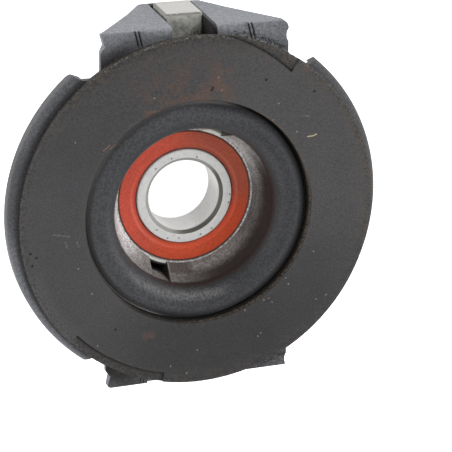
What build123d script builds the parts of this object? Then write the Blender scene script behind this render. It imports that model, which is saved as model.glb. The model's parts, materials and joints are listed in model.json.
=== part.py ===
from build123d import *
from math import atan2, cos, degrees, radians, sin, sqrt, tan
import os

# A friction and claw shaft coupling half, in millimetres.
# A pressed drum with a bonded friction ring sits on a cast yoke with two claw lugs.
# The yoke's hub holds a sealed ball bearing, and the shaft end goes through its bore.
# The origin is the middle of the back, which is the resting face, and Z points out of the friction face.

# Heights along the axis
overall_height = 40.0
lining_thickness = 4.0
sheet = 2.5

# Friction lining
lining_outer_radius = 62.1
lining_gap = 0.43
lining_draft = 0.75
lining_rim_break = 0.15
lining_mouth_break = 0.35
step_depth = 0.7
worn_step_inset = 2.0
worn_step_shift = (-10.4, 4.4)
worn_step_angles = (55.5, 82.0)
moulded_step_width = 3.5
moulded_step_angles = (223.0, 258.0)

# Pressed drum
rim_bend_radius = 3.0
rim_depth = 6.3
rim_corner = 2.2
upper_window_starts = (48.6, 47.8)
lower_window_starts = (50.4, 50.4)
window_flare = 22.0
window_inset = 2.0
bead_radius = 5.65
bead_outer_radius = 4.0
bead_crown = 1.25
bead_rise = 3.5

# Cast yoke
lug_reach = 63.3
lug_half_width = 32.7
upper_lug_shift = 0.5
lower_lug_turn = 1.3
lug_thickness = 17.0
lug_foot_half_width = 11.0
lug_foot_corner = 2.5
lug_waist_half_width = 18.0
lug_waist_height = 11.4
lug_waist_bend = 22.0
lug_flare_drop = 4.5
lug_flare_inset = 2.0
lug_side_height = 2.2
lug_edge_radius = 1.2
crown_half_width = 18.0
crown_radius = 2.6
tip_edge_radius = 0.8
tip_corner_radius = 2.6
notch_depth = 1.6
notch_bottom_from_tip = 4.6
notch_length = 6.6
neck_radius = 4.0
neck_depth = 0.7
upper_neck_from_tip = 5.2
lower_neck_from_tip = 2.4
plate_thickness = 6.0
hub_wall = 5.0
hub_lip = 2.85
hub_foot_gap = 1.0
shoulder_overlap = 1.7
rib_thickness = 11.0
rib_foot_height = 6.0
root_fillet = 2.5

# Slots for the drive blocks
slot_width = 14.1
slot_depth = 12.0
slot_floor_height = 4.0
slot_corner_radius = 1.6

# Twin score marks beside each slot
mark_offset = 19.6
mark_length = 5.6
mark_lean = 13.5
mark_line_width = 0.45
mark_line_spacing = 1.25
mark_depth = 0.6

# Slots that let a puller reach the bearing
puller_slot_width = 6.8
puller_slot_depth = 1.8
puller_slot_overrun = 7.0
puller_slot_angle = 66.3

# Drive blocks
block_width = 13.0
block_height = 16.0
block_stand_out = 1.2
block_inner_gap = 0.4
block_edge = 0.5

# Deep groove ball bearing, 25 x 52 x 15
bearing_bore = 25.0
bearing_outside = 52.0
bearing_width = 15.0
bearing_depth = 17.4
ring_chamfer = 1.0
bore_chamfer = 1.5
shoulder_edge_break = 0.3
inner_ring_wall = 4.45
outer_ring_wall = 4.6
seal_seat_wall = 2.6
seal_seat_depth = 2.0
seal_mouth_chamfer = 0.55
ball_count = 9
ball_diameter = 7.94
race_clearance = 0.1
seat_clearance = 0.01

# Seals
seal_thickness = 1.5
seal_recess = 0.35
seal_lip_gap = 0.22
seal_lip_width = 1.1
seal_lip_drop = 0.35

# Ribbon cage
cage_sheet = 0.7
cage_inner_gap = 0.75
cage_outer_gap = 0.6
cage_rivet_radius = 0.6
cage_rivet_head_radius = 1.05
cage_rivet_head_height = 0.45

# Retaining ring behind the bearing
ring_thickness = 2.0
ring_groove_width = 2.15
ring_groove_depth = 1.5
ring_radial_width = 3.7
ring_gap_half_angle = 15.0
ear_radius = 3.1
ear_hole_radius = 1.25
ear_inset = 2.0

# Rivets through drum and yoke
rivet_radius = 3.0
rivet_head_radius = 5.2
rivet_dome_height = 2.4
rivet_sink = 2.0
rivet_edge_distance = 10.7
rivet_head_clearance = 1.1

# Worked out from the sizes above
web_front = overall_height - lining_thickness
web_back = web_front - sheet
rim_radius = lining_outer_radius + rim_bend_radius
plate_back = web_back - plate_thickness
lug_inner = lug_reach - lug_thickness
slot_inner = lug_reach - slot_depth
bearing_radius = bearing_outside / 2
bearing_front = overall_height - bearing_depth
bearing_back = bearing_front - bearing_width
bearing_middle = (bearing_front + bearing_back) / 2
bearing_seat_radius = bearing_radius + seat_clearance
shoulder_radius = bearing_radius - shoulder_overlap
inner_shoulder_radius = bearing_bore / 2 + inner_ring_wall
outer_land_radius = bearing_radius - outer_ring_wall
seal_seat_radius = bearing_radius - seal_seat_wall
cage_inner_radius = inner_shoulder_radius + cage_inner_gap
cage_outer_radius = outer_land_radius - cage_outer_gap
pitch_radius = (bearing_bore + bearing_outside) / 4
ball_radius = ball_diameter / 2
race_radius = ball_radius + race_clearance
hub_outer_radius = bearing_radius + hub_wall
mouth_radius = hub_outer_radius - hub_lip
bead_middle_radius = mouth_radius + bead_radius
bead_top = web_front + bead_rise
bead_crown_end = bead_middle_radius + bead_crown
bead_foot = sqrt(bead_outer_radius**2 - (bead_outer_radius - bead_rise) ** 2)
bead_foot_radius = bead_crown_end + bead_foot
lining_inner_radius = bead_foot_radius + lining_gap
rivet_across = lug_half_width - rivet_edge_distance
rivet_out = lug_inner - rivet_head_radius - rivet_head_clearance
rivet_places = [(rivet_across, rivet_out), (-rivet_across, rivet_out),
                (-rivet_across, -rivet_out), (rivet_across, -rivet_out)]
far = 4 * rim_radius


def on_circle(radius, angle):
    """A point at an angle, in degrees from X."""
    return radius * cos(radians(angle)), radius * sin(radians(angle))


def revolved(*edges):
    """Turn a closed outline, drawn as radius and height, round the axis."""
    outline = Wire(edges)
    return revolve(Plane.XZ * make_face(outline), Axis.Z)


def turned(*corners):
    """Turn a closed outline of straight runs round the axis."""
    return revolve(Plane.XZ * make_face(Polyline(*corners, close=True)), Axis.Z)


def disc(radius, bottom, top):
    """A plain round plate between two heights."""
    return Pos(0, 0, bottom) * extrude(Circle(radius), top - bottom)


def ring(outer, inner, bottom, top):
    """A plain ring between two heights."""
    return disc(outer, bottom, top) - disc(inner, bottom, top)


def arc(center, radius, start, turn):
    """An arc round a center, from a start angle, through a turn, in degrees."""
    return CenterArc((center[0], center[1], 0), radius, start, turn)


def run(*corners):
    """Straight edges through the corners, in order."""
    return [Line(a, b) for a, b in zip(corners, corners[1:])]


def sector(angles, bottom, top):
    """A wedge from the axis outwards, between two angles and two heights."""
    first, last = angles
    corners = [(0, 0), on_circle(far, first), on_circle(far, (first + last) / 2), on_circle(far, last)]
    return Pos(0, 0, bottom) * extrude(make_face(Polyline(*corners, close=True)), top - bottom)


def both_ends(shape):
    """The shape and its copy half a turn round the axis."""
    return [shape, Rot(0, 0, 180) * shape]


def keep_one(part):
    """The one solid of a part, without its wrapping."""
    solids = part.solids()
    return solids[0] if len(solids) == 1 else part


def friction_lining():
    """The bonded friction ring, with a shallow step at two places of its outer edge."""
    body = turned(
        (lining_inner_radius, web_front), (lining_outer_radius - lining_draft, web_front),
        (lining_outer_radius, overall_height - lining_rim_break),
        (lining_outer_radius - lining_rim_break, overall_height),
        (lining_inner_radius + lining_mouth_break, overall_height),
        (lining_inner_radius, overall_height - lining_mouth_break))
    step_floor = overall_height - step_depth
    band = disc(far, step_floor, overall_height + 1)
    worn = band & sector(worn_step_angles, step_floor, overall_height + 1)
    worn_radius = lining_outer_radius - worn_step_inset
    worn -= Pos(*worn_step_shift, 0) * disc(worn_radius, web_front, overall_height + 1)
    moulded = band & sector(moulded_step_angles, step_floor, overall_height + 1)
    moulded -= disc(lining_outer_radius - moulded_step_width, web_front, overall_height + 1)
    return keep_one(body - worn - moulded)


def rivet_hole(place, bottom, top):
    """The plain hole of one rivet."""
    return Pos(*place, bottom) * extrude(Circle(rivet_radius), top - bottom)


def rivet_countersink(place, top):
    """The cone that a rivet's flush head fills."""
    cone = Cone(rivet_radius, rivet_head_radius, rivet_sink, align=(Align.CENTER, Align.CENTER, Align.MAX))
    return Pos(*place, top) * cone


def drum():
    """The pressed drum: a rolled bead round the mouth, a flat web and a flanged rim with two windows."""
    inner_bead = (bead_middle_radius, bead_top - bead_radius)
    outer_bead = (bead_crown_end, bead_top - bead_outer_radius)
    foot_angle = degrees(atan2(bead_outer_radius - bead_rise, bead_foot))
    bend = (lining_outer_radius, web_front - rim_bend_radius)
    rim_edge = web_front - rim_depth
    inner_bend = rim_bend_radius - sheet
    inner_hollow = bead_radius - sheet
    outer_hollow = bead_outer_radius - sheet
    edges = [
        *run((mouth_radius, web_back), (mouth_radius, inner_bead[1])),
        arc(inner_bead, bead_radius, 180, -90),
        *run((bead_middle_radius, bead_top), (bead_crown_end, bead_top)),
        arc(outer_bead, bead_outer_radius, 90, foot_angle - 90),
        *run((bead_foot_radius, web_front), (lining_outer_radius, web_front)),
        arc(bend, rim_bend_radius, 90, -90),
        *run((rim_radius, bend[1]), (rim_radius, rim_edge), (rim_radius - sheet, rim_edge),
             (rim_radius - sheet, bend[1])),
        arc(bend, inner_bend, 0, 90),
        *run((lining_outer_radius, web_back), (bead_crown_end + outer_hollow, web_back),
             (bead_crown_end + outer_hollow, outer_bead[1])),
        arc(outer_bead, outer_hollow, 0, 90),
        *run((bead_crown_end, bead_top - sheet), (bead_middle_radius, bead_top - sheet)),
        arc(inner_bead, inner_hollow, 90, 90),
        *run((bead_middle_radius - inner_hollow, inner_bead[1]),
             (bead_middle_radius - inner_hollow, web_back), (mouth_radius, web_back)),
    ]
    body = revolved(*edges)
    around = ring(far, lining_outer_radius - window_inset, rim_edge - 1, web_front + 1)
    for side, starts in ((1, upper_window_starts), (-1, lower_window_starts)):
        body -= around & window(side, starts)
    ends = body.edges().filter_by(lambda edge: is_rim_corner(edge, rim_edge))
    body = fillet(ends, rim_corner)
    for place in rivet_places:
        body -= rivet_hole(place, web_back, web_front)
        body -= rivet_countersink(place, web_front)
    return keep_one(body)


def window(side, starts):
    """Where the rim is cut away over a lug, with ends that lean apart. Its left start comes first."""
    corners = [(0, side * far * 2)]
    for turn, start in zip((-1, 1), starts):
        across = sqrt(lining_outer_radius**2 - start**2)
        rise = (far - across) * tan(radians(window_flare))
        ends = [(turn * far, side * (start + rise)), (turn * across, side * start)]
        corners += ends[::-turn]
    return extrude(make_face(Polyline(*corners, close=True)), far, both=True)


def is_rim_corner(edge, rim_edge):
    """True for the short edge at the foot of a rim end."""
    middle = edge.center()
    at_foot = abs(middle.Z - rim_edge) < 0.01
    across = edge.length < sheet * 2
    return at_foot and across


def lug_outline():
    """The front view of a lug, flared from its foot to its tips, with soft bends at foot and waist."""
    waist = (lug_waist_half_width, lug_waist_height)
    flare_top = (lug_half_width - lug_flare_inset, web_back - lug_flare_drop)
    side_foot = (lug_half_width, web_back - lug_side_height)
    right = [(lug_foot_half_width, 0), waist, flare_top, side_foot, (lug_half_width, web_back)]
    left = [(-x, z) for x, z in reversed(right)]
    outline = make_face(Polyline(*right, *left, close=True))
    waists = outline.vertices().filter_by(lambda point: abs(point.Y - lug_waist_height) < 0.01)
    outline = fillet(waists, lug_waist_bend)
    feet = outline.vertices().filter_by(lambda point: abs(point.Y) < 0.01)
    return fillet(feet, lug_foot_corner)


def lug(neck_from_tip, round_side):
    """One claw lug, flared. One of its two tips is rounded, and both have a hollow behind them."""
    solid = extrude(Plane.XZ * lug_outline(), lug_thickness)
    solid = Pos(0, lug_reach, 0) * solid
    outer = solid.faces().sort_by(Axis.Y)[-1]
    rounded = outer.edges().filter_by(lambda edge: edge.center().Z < web_back - 0.01)
    solid = fillet(rounded, lug_edge_radius)
    cuts = [edge_rounder(crown_radius, -crown_half_width, crown_half_width), notch()]
    for side in (-1, 1):
        near, away = sorted((side * crown_half_width, side * (lug_half_width + 1)))
        cuts.append(edge_rounder(tip_edge_radius, near, away))
    cuts += [neck(neck_from_tip), tip_rounder(round_side), *score_marks()]
    for cut in cuts:
        solid -= cut
    return solid


def edge_rounder(radius, start, end):
    """What a rounding takes off the lug's front outer edge, between two places across it."""
    square = Pos(0, lug_reach - radius / 2 + 0.5, web_back - radius / 2 + 0.5) * Box(
        end - start, radius + 1, radius + 1)
    bar = Pos(0, lug_reach - radius, web_back - radius) * Rot(0, 90, 0) * Cylinder(radius, end - start + 1)
    return Pos((start + end) / 2, 0, 0) * (square - bar)


def tip_rounder(side):
    """What a round corner takes off the lug's tip at one side."""
    radius = tip_corner_radius
    across = lug_half_width - radius
    out = lug_reach - radius
    square = Box(radius + 1, radius + 1, 2 * web_back)
    square = Pos(side * (across + radius / 2 + 0.5), out + radius / 2 + 0.5, 0) * square
    return square - Pos(side * across, out, 0) * Cylinder(radius, 2 * web_back)


def notch():
    """The slanting notch behind a lug's left tip."""
    side = -lug_half_width
    corners = [(side, lug_reach), (side + notch_depth, lug_reach - notch_bottom_from_tip),
               (side, lug_reach - notch_length), (side - notch_depth, lug_reach - notch_length),
               (side - notch_depth, lug_reach)]
    return extrude(make_face(Polyline(*corners, close=True)), 2 * web_back, both=True)


def neck(from_tip):
    """The shallow hollow behind a lug's right tip."""
    across = lug_half_width + neck_radius - neck_depth
    return Pos(across, lug_reach - from_tip, 0) * Cylinder(neck_radius, 2 * web_back)


def slot():
    """The slot for one drive block, open to the front and outwards, with rounded mouth corners."""
    height = web_back - slot_floor_height
    reach = slot_depth + 1
    middle = slot_inner + reach / 2
    cut = Pos(0, middle, slot_floor_height + height / 2 + 0.5) * Box(slot_width, reach, height + 1)
    flare = slot_width / 2 + slot_corner_radius
    mouth = Pos(0, middle, web_back - slot_corner_radius / 2) * Box(2 * flare, reach, slot_corner_radius)
    for side in (-1, 1):
        corner = Pos(side * flare, middle, web_back - slot_corner_radius)
        mouth -= corner * Rot(90, 0, 0) * Cylinder(slot_corner_radius, reach)
    return cut + mouth


def score_marks():
    """The twin lines on the front of a lug, leaning, beside each side of the slot."""
    lines = []
    for side in (-1, 1):
        for line in (-0.5, 0.5):
            across = side * mark_offset + line * mark_line_spacing
            place = Pos(across, lug_reach - mark_length / 2 + 0.3, web_back)
            box = Box(mark_line_width, mark_length, 2 * mark_depth)
            lines.append(place * Rot(0, 0, mark_lean) * box)
    return lines


def hub():
    """The turned hub: a tapered pocket, the bearing seat, its shoulder and the groove behind."""
    foot = hub_foot_gap
    groove = bearing_back - ring_groove_width
    return turned(
        (bearing_seat_radius, foot), (hub_outer_radius, foot), (hub_outer_radius, web_back),
        (mouth_radius, web_back), (shoulder_radius, bearing_front), (bearing_seat_radius, bearing_front),
        (bearing_seat_radius, bearing_back), (bearing_seat_radius + ring_groove_depth, bearing_back),
        (bearing_seat_radius + ring_groove_depth, groove), (bearing_seat_radius, groove))


def puller_slot():
    """A slot down the pocket wall, past the front face of the bearing."""
    foot = bearing_front - puller_slot_overrun
    height = web_back + 1 - foot
    inside = shoulder_radius - 3
    reach = bearing_radius + puller_slot_depth - inside
    box = Pos(inside + reach / 2, 0, foot + height / 2) * Box(reach, puller_slot_width, height)
    return Rot(0, 0, puller_slot_angle) * box


def claw_yoke():
    """The cast yoke: a flat plate across the drum, the hub in its middle and a claw lug at each end."""
    plate = Pos(0, 0, plate_back + plate_thickness / 2) * Box(
        2 * lug_half_width, 2 * lug_inner + 1, plate_thickness)
    rib_height = plate_back - rib_foot_height + 1
    rib = Pos(0, 0, rib_foot_height + rib_height / 2) * Box(rib_thickness, 2 * lug_inner + 1, rib_height)
    core = disc(hub_outer_radius, hub_foot_gap, web_back)
    body = plate + rib + core
    body += Pos(upper_lug_shift, 0, 0) * lug(upper_neck_from_tip, 1)
    body += Rot(0, 0, lower_lug_turn) * mirror(lug(lower_neck_from_tip, -1), Plane.XZ)
    corners = body.edges().filter_by(lambda edge: is_root(edge))
    body = fillet(corners, root_fillet)
    body -= disc(hub_outer_radius - 0.5, 0, web_back)
    body += hub()
    for cut in (slot(), puller_slot()):
        for copy in both_ends(cut):
            body -= copy
    for place in rivet_places:
        body -= rivet_hole(place, plate_back, web_back)
    return keep_one(body)


def is_root(edge):
    """True for the upright edges where the ribs meet the hub."""
    middle = edge.center()
    upright = edge.geom_type == GeomType.LINE and abs(edge.tangent_at(0.5).Z) > 0.99
    beside_rib = abs(abs(middle.X) - rib_thickness / 2) < 0.01
    return upright and beside_rib and abs(middle.Y) < lug_inner - 1


def drive_block(side):
    """One steel drive block, standing on its slot's floor and leaning on one side of the slot."""
    length = slot_depth + block_stand_out - block_inner_gap
    shift = (slot_width - block_width) / 2
    block = Box(block_width, length, block_height)
    block = chamfer(block.edges(), block_edge)
    middle = slot_inner + block_inner_gap + length / 2
    block = Pos(shift, middle, slot_floor_height + block_height / 2) * block
    return keep_one(Rot(0, 0, 0 if side == 1 else 180) * block)


def bearing_outer_ring():
    """The outer ring, with its ball groove and the seats of the two seals."""
    mouth = seal_seat_radius + seal_mouth_chamfer
    back_step = bearing_back + seal_seat_depth
    body = turned(
        (outer_land_radius, back_step), (seal_seat_radius, back_step),
        (seal_seat_radius, bearing_back + seal_mouth_chamfer), (mouth, bearing_back),
        (bearing_radius - ring_chamfer, bearing_back), (bearing_radius, bearing_back + ring_chamfer),
        (bearing_radius, bearing_front - ring_chamfer), (bearing_radius - ring_chamfer, bearing_front),
        (mouth, bearing_front), (seal_seat_radius, bearing_front - seal_mouth_chamfer),
        (seal_seat_radius, bearing_front - seal_seat_depth),
        (outer_land_radius, bearing_front - seal_seat_depth))
    return keep_one(body - ball_track())


def bearing_inner_ring():
    """The inner ring, which grips the shaft, with its ball groove."""
    bore = bearing_bore / 2
    edge = shoulder_edge_break
    body = turned(
        (bore, bearing_back + bore_chamfer), (bore + bore_chamfer, bearing_back),
        (inner_shoulder_radius - edge, bearing_back), (inner_shoulder_radius, bearing_back + edge),
        (inner_shoulder_radius, bearing_front - edge), (inner_shoulder_radius - edge, bearing_front),
        (bore + bore_chamfer, bearing_front), (bore, bearing_front - bore_chamfer))
    return keep_one(body - ball_track())


def ball_track():
    """The round track that both rings are ground to."""
    return Pos(0, 0, bearing_middle) * Torus(pitch_radius, race_radius)


def ball(number):
    """One ball of the ring of balls."""
    x, y = on_circle(pitch_radius, 360 / ball_count * number)
    return Pos(x, y, bearing_middle) * Sphere(ball_radius)


def seal(facing):
    """One rubber seal with its thin inner lip, facing the front or the back."""
    face = bearing_width / 2 - seal_recess
    back = face - seal_thickness
    lip = inner_shoulder_radius + seal_lip_gap
    body = turned(
        (lip, back), (seal_seat_radius, back), (seal_seat_radius, face),
        (lip + 2 * seal_lip_width, face), (lip + seal_lip_width, face - seal_lip_drop),
        (lip, face - seal_lip_drop))
    turn = 0 if facing == "front" else 180
    return keep_one(Pos(0, 0, bearing_middle) * Rot(turn, 0, 0) * body)


def cage_half(facing):
    """Half of the ribbon cage: a flat band that bulges round each ball."""
    pocket = race_radius
    bulge = pocket + cage_sheet
    shape = ring(cage_outer_radius, cage_inner_radius, 0, cage_sheet)
    for number in range(ball_count):
        shape += Pos(*on_circle(pitch_radius, 360 / ball_count * number), 0) * Sphere(bulge)
    shape &= ring(cage_outer_radius, cage_inner_radius, 0, bulge + 1)
    for number in range(ball_count):
        shape -= Pos(*on_circle(pitch_radius, 360 / ball_count * number), 0) * Sphere(pocket)
        shape -= Pos(*cage_rivet_place(number), 0) * Cylinder(cage_rivet_radius, 3 * cage_sheet)
    turn = 0 if facing == "front" else 180
    return keep_one(Pos(0, 0, bearing_middle) * Rot(turn, 0, 0) * shape)


def cage_rivet_place(number):
    """The middle of the flat between two balls."""
    return on_circle(pitch_radius, 360 / ball_count * (number + 0.5))


def cage_rivets():
    """The small rivets that close the cage, one between each two balls."""
    rivets = []
    for number in range(ball_count):
        rivet = Cylinder(cage_rivet_radius, 2 * cage_sheet)
        for side in (-1, 1):
            middle = side * (cage_sheet + cage_rivet_head_height / 2)
            rivet += Pos(0, 0, middle) * Cylinder(cage_rivet_head_radius, cage_rivet_head_height)
        x, y = cage_rivet_place(number)
        rivets.append(Pos(x, y, bearing_middle) * rivet)
    return Compound([rivet.solid() for rivet in rivets])


def retaining_ring():
    """The spring ring behind the bearing, split, with two ears for the pliers."""
    outside = bearing_seat_radius + ring_groove_depth - seat_clearance
    band = Circle(outside) - Circle(outside - ring_radial_width)
    gap = make_face(Polyline((0, 0), on_circle(far, 90 - ring_gap_half_angle),
                             on_circle(far, 90 + ring_gap_half_angle), close=True))
    band -= gap
    for side in (-1, 1):
        place = Pos(*on_circle(bearing_radius - ear_inset, 90 + side * (ring_gap_half_angle + 2)), 0)
        band += place * Circle(ear_radius) & Circle(outside)
        band -= place * Circle(ear_hole_radius)
    top = bearing_back
    return keep_one(Pos(0, 0, top - ring_thickness) * extrude(band, ring_thickness))


def drum_rivets():
    """The rivets that hold the drum on the yoke: flush under the lining, domed behind."""
    rivets = []
    dome_radius = (rivet_head_radius**2 + rivet_dome_height**2) / (2 * rivet_dome_height)
    for place in rivet_places:
        rivet = rivet_hole(place, plate_back, web_front) + rivet_countersink(place, web_front)
        dome_foot = plate_back - rivet_dome_height
        cap = Pos(*place, dome_foot + dome_radius) * Sphere(dome_radius)
        cap &= Pos(*place, dome_foot) * extrude(Circle(rivet_head_radius), rivet_dome_height)
        rivets.append((rivet + cap).solid())
    return Compound(rivets)


def main():
    nodes = {
        "friction_lining": friction_lining(),
        "drum": drum(),
        "claw_yoke": claw_yoke(),
        "drum_rivets": drum_rivets(),
        "drive_block_1": drive_block(1),
        "drive_block_2": drive_block(2),
        "bearing_outer_ring": bearing_outer_ring(),
        "bearing_inner_ring": bearing_inner_ring(),
        "cage_front": cage_half("front"),
        "cage_rear": cage_half("rear"),
        "cage_rivets": cage_rivets(),
        "seal_front": seal("front"),
        "seal_rear": seal("rear"),
        "retaining_ring": retaining_ring(),
    }
    for number in range(ball_count):
        nodes[f"ball_{number + 1}"] = ball(number)
    os.makedirs("parts", exist_ok=True)
    for name, shape in nodes.items():
        export_step(shape, f"parts/{name}.step")


main()
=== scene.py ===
import json
import math
import random
import bpy
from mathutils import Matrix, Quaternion, Vector

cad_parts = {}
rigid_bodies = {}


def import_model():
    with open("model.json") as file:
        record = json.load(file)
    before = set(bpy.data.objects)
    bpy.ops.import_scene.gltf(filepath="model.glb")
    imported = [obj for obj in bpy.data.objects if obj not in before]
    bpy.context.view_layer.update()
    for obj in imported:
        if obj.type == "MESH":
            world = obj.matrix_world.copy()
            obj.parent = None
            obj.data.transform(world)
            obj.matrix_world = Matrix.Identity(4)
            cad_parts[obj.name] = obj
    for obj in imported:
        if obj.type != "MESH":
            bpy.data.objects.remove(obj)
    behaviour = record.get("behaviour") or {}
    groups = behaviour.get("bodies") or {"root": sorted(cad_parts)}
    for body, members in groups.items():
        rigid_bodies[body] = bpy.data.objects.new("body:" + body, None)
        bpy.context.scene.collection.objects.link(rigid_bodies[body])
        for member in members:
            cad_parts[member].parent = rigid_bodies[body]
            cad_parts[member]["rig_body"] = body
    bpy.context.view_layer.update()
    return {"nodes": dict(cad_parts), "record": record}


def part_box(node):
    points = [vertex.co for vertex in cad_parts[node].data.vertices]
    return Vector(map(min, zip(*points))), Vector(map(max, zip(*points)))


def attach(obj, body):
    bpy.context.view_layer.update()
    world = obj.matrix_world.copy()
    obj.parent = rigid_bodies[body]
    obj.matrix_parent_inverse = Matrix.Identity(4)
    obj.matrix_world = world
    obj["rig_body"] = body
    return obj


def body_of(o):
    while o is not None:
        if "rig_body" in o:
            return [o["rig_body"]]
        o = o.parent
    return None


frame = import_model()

MM = 1000.0


def corner(node, end, axis):
    """One coordinate of a node's box, in millimetres: end 0 is the low corner, 1 the high one."""
    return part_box(node)[end][axis] * MM


# Sizes in millimetres and angles in degrees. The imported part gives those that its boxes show.
FACE_HEIGHT = corner("friction_lining", 1, 2)
LINING_RADIUS = corner("friction_lining", 1, 0)
LINING_HOLE_RADIUS = 39.45
LINING_DRAFT = 0.75 / 4.0
WORN_STEP_MIDDLE = (-10.4, 4.4)
WORN_STEP_RADIUS = 60.1
MOULDED_STEP_RADIUS = 58.6
STEP_DEPTH = 0.7
STEP_ANGLES = ((55.5, 82.0), (223.0, 258.0))
RIM_RADIUS = corner("drum", 1, 0)
RIM_HIGHLIGHT_RADIUS = 62.5
BEAD_MIDDLE_RADIUS = 33.8
YOKE_FRONT = corner("claw_yoke", 1, 2)
LUG_REACH = corner("claw_yoke", 1, 1)
SLOT_MIDDLE = (corner("drive_block_1", 0, 0) + corner("drive_block_1", 1, 0)) / 2
SLOT_HALF_WIDTH = 7.05
SOOT_AND_SHADE_MIDDLE = (2.0, -2.5)
POCKET_RADIUS = 28.2
PULLER_SLOT_ANGLE = 66.3
PULLER_SLOT_HALF_WIDTH = 3.4
BEARING_FRONT = corner("bearing_inner_ring", 1, 2)
SEAL_RADIUS = corner("seal_front", 1, 0)
INNER_RING_RADIUS = corner("bearing_inner_ring", 1, 0)
BORE_RADIUS = 12.5

# Places of the marks that can be told apart, as x and y in millimetres
PALE_FLECKS = [(-42.2, -15.9), (-42.6, 28.8), (-15.6, 41.8), (34.5, 25.7), (27.9, 36.2), (41.2, -18.3),
               (32.3, -29.4), (16.6, -37.4), (46.1, -34.9), (42.5, -36.2), (-10.0, -55.2), (-4.3, -58.5),
               (-37.6, -25.3), (-35.9, -44.6), (-37.0, -47.5), (-0.5, -50.3)]
CRUMB_FLECKS = [(23.4, -34.4), (25.2, -33.9), (26.4, -35.5), (31.3, -27.1), (22.5, -46.6), (21.4, -47.6)]
RUST_FLECKS = [(7.8, 42.6), (6.7, 47.2), (-13.7, 37.1), (-9.3, 38.2), (-16.5, 35.6), (25.9, 30.7)]
DARK_PITS = [(4.6, 43.7), (4.3, 43.1), (23.4, 45.0), (40.5, 39.5), (-29.5, -39.4), (-42.9, -43.8),
             (-41.5, -43.9), (-58.6, -8.8), (-58.0, -13.1), (-56.5, -10.4)]
PALE_SCORES = [((-50.6, -2.8), (-44.8, -4.1)), ((-46.5, -5.8), (-46.0, -8.1)), ((-42.5, -6.0), (-42.1, -8.0)),
               ((36.9, 31.3), (38.7, 30.8))]
BROWN_SCORES = [((-33.1, 25.1), (-31.0, 26.7)), ((-30.7, 25.6), (-28.6, 27.1))]
GOLDEN_SCORES = [((38.4, 23.6), (40.2, 23.7)), ((40.2, 23.7), (41.5, 24.2))]
RUST_PATCHES = [(6.4, 44.6), (2.2, 38.0), (-16.8, 36.2)]
FAINT_PATCHES = [(38.0, 46.2), (-17.8, -42.0)]
RING_DASHES = [(-10.3, 10.9), (-4.6, 14.0), (4.3, 13.9), (-10.0, -11.4), (-6.1, -14.7), (-2.1, -15.1),
               (5.8, -14.5), (9.8, -12.7), (15.9, -3.7), (16.3, -0.8)]
UPPER_MARKS = [((x + 0.65, 58.1), (x - 0.5, 62.9)) for x in (-19.72, -18.48, 19.48, 20.72)]

# Colours of the lining, as linear red, green and blue
COMPOUND_DARK, COMPOUND_LIGHT = (0.036, 0.0365, 0.0385), (0.071, 0.0695, 0.072)
BROWN_DUST = (0.080, 0.068, 0.056)
RIM_CRUST = (0.014, 0.012, 0.010)
RUST_FILM, RUST_GRAINS, RUST_STAIN = (0.110, 0.062, 0.042), (0.17, 0.078, 0.048), (0.12, 0.062, 0.044)
RUST_SHADOW = (0.115, 0.066, 0.052)
TORN_RIM = (0.21, 0.195, 0.17)
WORN_DUST, WORN_HOLLOW, WORN_CRUMB = (0.070, 0.062, 0.055), (0.022, 0.019, 0.017), (0.135, 0.115, 0.095)
STEP_FLOOR, STEP_FOOT_SHADOW, STEP_WALL_SHADE = (0.030, 0.027, 0.024), (0.016, 0.014, 0.012), (0.010, 0.009, 0.008)
OUTER_WALL = (0.012, 0.010, 0.009)
HOLE_DUST, HOLE_EDGE_SHADE, HOLE_FRAY = (0.062, 0.048, 0.034), (0.012, 0.011, 0.010), (0.16, 0.12, 0.078)
PALE_FLECK, RUST_FLECK, DARK_PIT = (0.27, 0.235, 0.17), (0.24, 0.135, 0.085), (0.008, 0.007, 0.007)
PALE_SCORE, BROWN_SCORE, GOLDEN_SCORE = (0.17, 0.165, 0.16), (0.19, 0.12, 0.07), (0.42, 0.36, 0.22)

# Colours of the drum
PAINT_DARK, PAINT_LIGHT = (0.029, 0.030, 0.033), (0.055, 0.056, 0.061)
VALLEY_LIGHT, BEAD_HIGHLIGHT = (0.62, 0.61, 0.60), (0.13, 0.13, 0.13)
PAINT_DUST, PAINT_GRIME_AND_SHADE, PAINT_CHIP = (0.15, 0.145, 0.14), (0.016, 0.010, 0.008), (0.24, 0.20, 0.16)

# Colours of the yoke
CAST_DARK, CAST_LIGHT = (0.180, 0.187, 0.205), (0.325, 0.333, 0.358)
GROOVE_SHADE, MARK_SHADE, SCUFF = (0.012, 0.011, 0.011), (0.016, 0.015, 0.015), (0.36, 0.37, 0.39)
SLOT_SHADE_AND_GREASE, LUG_SOOT_AND_SHADE = (0.010, 0.007, 0.006), (0.016, 0.013, 0.012)
TURNED_DARK, TURNED_LIGHT, TURNED_LIT = (0.36, 0.365, 0.355), (0.50, 0.505, 0.495), (0.80, 0.82, 0.82)
TURNED_STAIN = (0.060, 0.055, 0.048)
LIP_OIL, LIP_GRAIN, LIP_EDGE = (0.013, 0.0083, 0.0066), (0.105, 0.086, 0.075), (0.016, 0.011, 0.009)
PULLER_SHADE, PULLER_EDGE_HIGHLIGHT = (0.014, 0.013, 0.012), (0.62, 0.60, 0.56)

# Colours of the drive blocks
SIDE_DARK, SIDE_LIGHT = (0.47, 0.47, 0.43), (0.76, 0.76, 0.71)
SIDE_STAIN, SIDE_GREASE_AND_SHADOW = (0.16, 0.13, 0.09), (0.04, 0.032, 0.026)
GROUND_DARK, GROUND_LIGHT, GROUND_STAIN = (0.44, 0.43, 0.415), (0.53, 0.52, 0.505), (0.33, 0.31, 0.28)
EDGE_LINE = (0.06, 0.042, 0.03)

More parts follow.
